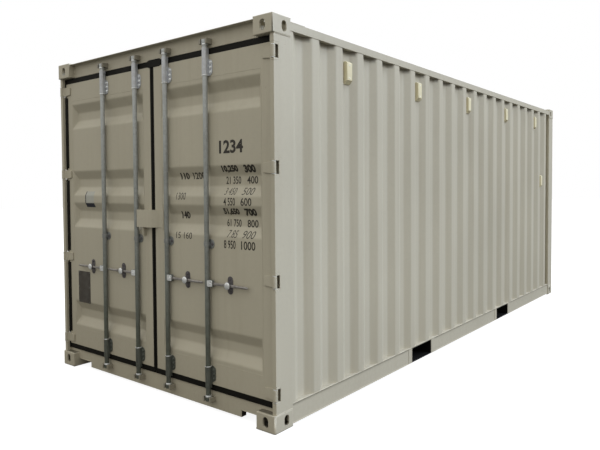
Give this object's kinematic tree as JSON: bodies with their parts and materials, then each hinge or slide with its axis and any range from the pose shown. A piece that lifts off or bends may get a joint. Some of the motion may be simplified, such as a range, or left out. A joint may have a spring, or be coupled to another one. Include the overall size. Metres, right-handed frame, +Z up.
{
  "type": "twenty-foot dry freight shipping container",
  "caption": "Steel freight container with corrugated walls, corner castings, fork pockets and two hinged end doors with turning lock bars and lifting handles.",
  "frame": {"origin": "on the ground, in the middle of the footprint", "axes": "+Z up, +Y along the length towards the closed end, the doors face -Y"},
  "size_m": [2.438, 6.058, 2.591],
  "materials": {
    "frame_paint": "semi-matt beige-grey paint, lightly weathered",
    "wall_paint": "semi-matt beige-grey paint on pressed sheet",
    "underframe_paint": "dark bitumen coating",
    "plywood": "varnished marine plywood",
    "vent_plastic": "moulded pale beige plastic",
    "galvanised_steel": "hot-dip galvanised, dull",
    "door_paint": "semi-matt beige-grey paint, lightly weathered",
    "seal_rubber": "matt black rubber"
  },
  "bodies": {
    "container_frame": {"bottom_corner_castings": "frame_paint", "top_corner_castings": "frame_paint", "rear_posts": "frame_paint", "front_posts": "frame_paint", "door_header": "frame_paint", "door_sill": "frame_paint", "front_top_rail": "frame_paint", "front_bottom_rail": "frame_paint", "top_side_rails": "frame_paint", "bottom_side_rails": "frame_paint", "side_wall_right": "wall_paint", "side_wall_left": "wall_paint", "front_wall": "wall_paint", "roof_panel": "wall_paint", "roof_corner_plates": "wall_paint", "floor_boards": "plywood", "floor_centre_rail": "underframe_paint", "cross_members": "underframe_paint", "fork_pockets": "underframe_paint", "ventilators": "vent_plastic", "cam_keepers": "frame_paint", "hinge_pins": "frame_paint"},
    "left_door": {"door_frame_left": "door_paint", "door_panel_left": "door_paint", "door_gasket_left": "seal_rubber", "hinge_blades_left": "door_paint", "bar_brackets_left": "galvanised_steel", "handle_catches_left": "galvanised_steel", "lock_lug": "door_paint"},
    "inner_lock_bar_left": {"inner_lock_bar_left": "galvanised_steel"},
    "inner_handle_left": {"inner_handle_left": "galvanised_steel"},
    "outer_lock_bar_left": {"outer_lock_bar_left": "galvanised_steel"},
    "outer_handle_left": {"outer_handle_left": "galvanised_steel"},
    "right_door": {"door_frame_right": "door_paint", "door_panel_right": "door_paint", "door_gasket_right": "seal_rubber", "hinge_blades_right": "door_paint", "bar_brackets_right": "galvanised_steel", "handle_catches_right": "galvanised_steel", "lock_cover": "door_paint"},
    "inner_lock_bar_right": {"inner_lock_bar_right": "galvanised_steel"},
    "inner_handle_right": {"inner_handle_right": "galvanised_steel"},
    "outer_lock_bar_right": {"outer_lock_bar_right": "galvanised_steel"},
    "outer_handle_right": {"outer_handle_right": "galvanised_steel"}
  },
  "joints": [
    {"name": "right_door_swing", "type": "hinge", "parent": "container_frame", "child": "right_door", "pos_m": [1.203, -3.007, 1.3], "axis": [0, 0, 1], "range_deg": [0, 260]},
    {"name": "left_door_swing", "type": "hinge", "parent": "container_frame", "child": "left_door", "pos_m": [-1.203, -3.007, 1.3], "axis": [0, 0, -1], "range_deg": [0, 260]},
    {"name": "inner_bar_turn_right", "type": "hinge", "parent": "right_door", "child": "inner_lock_bar_right", "pos_m": [0.178, -3.008, 1.3], "axis": [0, 0, 1], "range_deg": [-110, 0]},
    {"name": "inner_handle_lift_right", "type": "hinge", "parent": "inner_lock_bar_right", "child": "inner_handle_right", "pos_m": [0.22, -3.008, 0.885], "axis": [0, 1, 0], "range_deg": [-20, 0]},
    {"name": "outer_bar_turn_right", "type": "hinge", "parent": "right_door", "child": "outer_lock_bar_right", "pos_m": [0.6, -3.008, 1.3], "axis": [0, 0, 1], "range_deg": [-110, 0]},
    {"name": "outer_handle_lift_right", "type": "hinge", "parent": "outer_lock_bar_right", "child": "outer_handle_right", "pos_m": [0.642, -3.008, 0.885], "axis": [0, 1, 0], "range_deg": [-20, 0]},
    {"name": "inner_bar_turn_left", "type": "hinge", "parent": "left_door", "child": "inner_lock_bar_left", "pos_m": [-0.178, -3.008, 1.3], "axis": [0, 0, -1], "range_deg": [-110, 0]},
    {"name": "inner_handle_lift_left", "type": "hinge", "parent": "inner_lock_bar_left", "child": "inner_handle_left", "pos_m": [-0.22, -3.008, 0.885], "axis": [0, -1, 0], "range_deg": [-20, 0]},
    {"name": "outer_bar_turn_left", "type": "hinge", "parent": "left_door", "child": "outer_lock_bar_left", "pos_m": [-0.6, -3.008, 1.3], "axis": [0, 0, -1], "range_deg": [-110, 0]},
    {"name": "outer_handle_lift_left", "type": "hinge", "parent": "outer_lock_bar_left", "child": "outer_handle_left", "pos_m": [-0.642, -3.008, 0.885], "axis": [0, -1, 0], "range_deg": [-20, 0]}
  ]
}
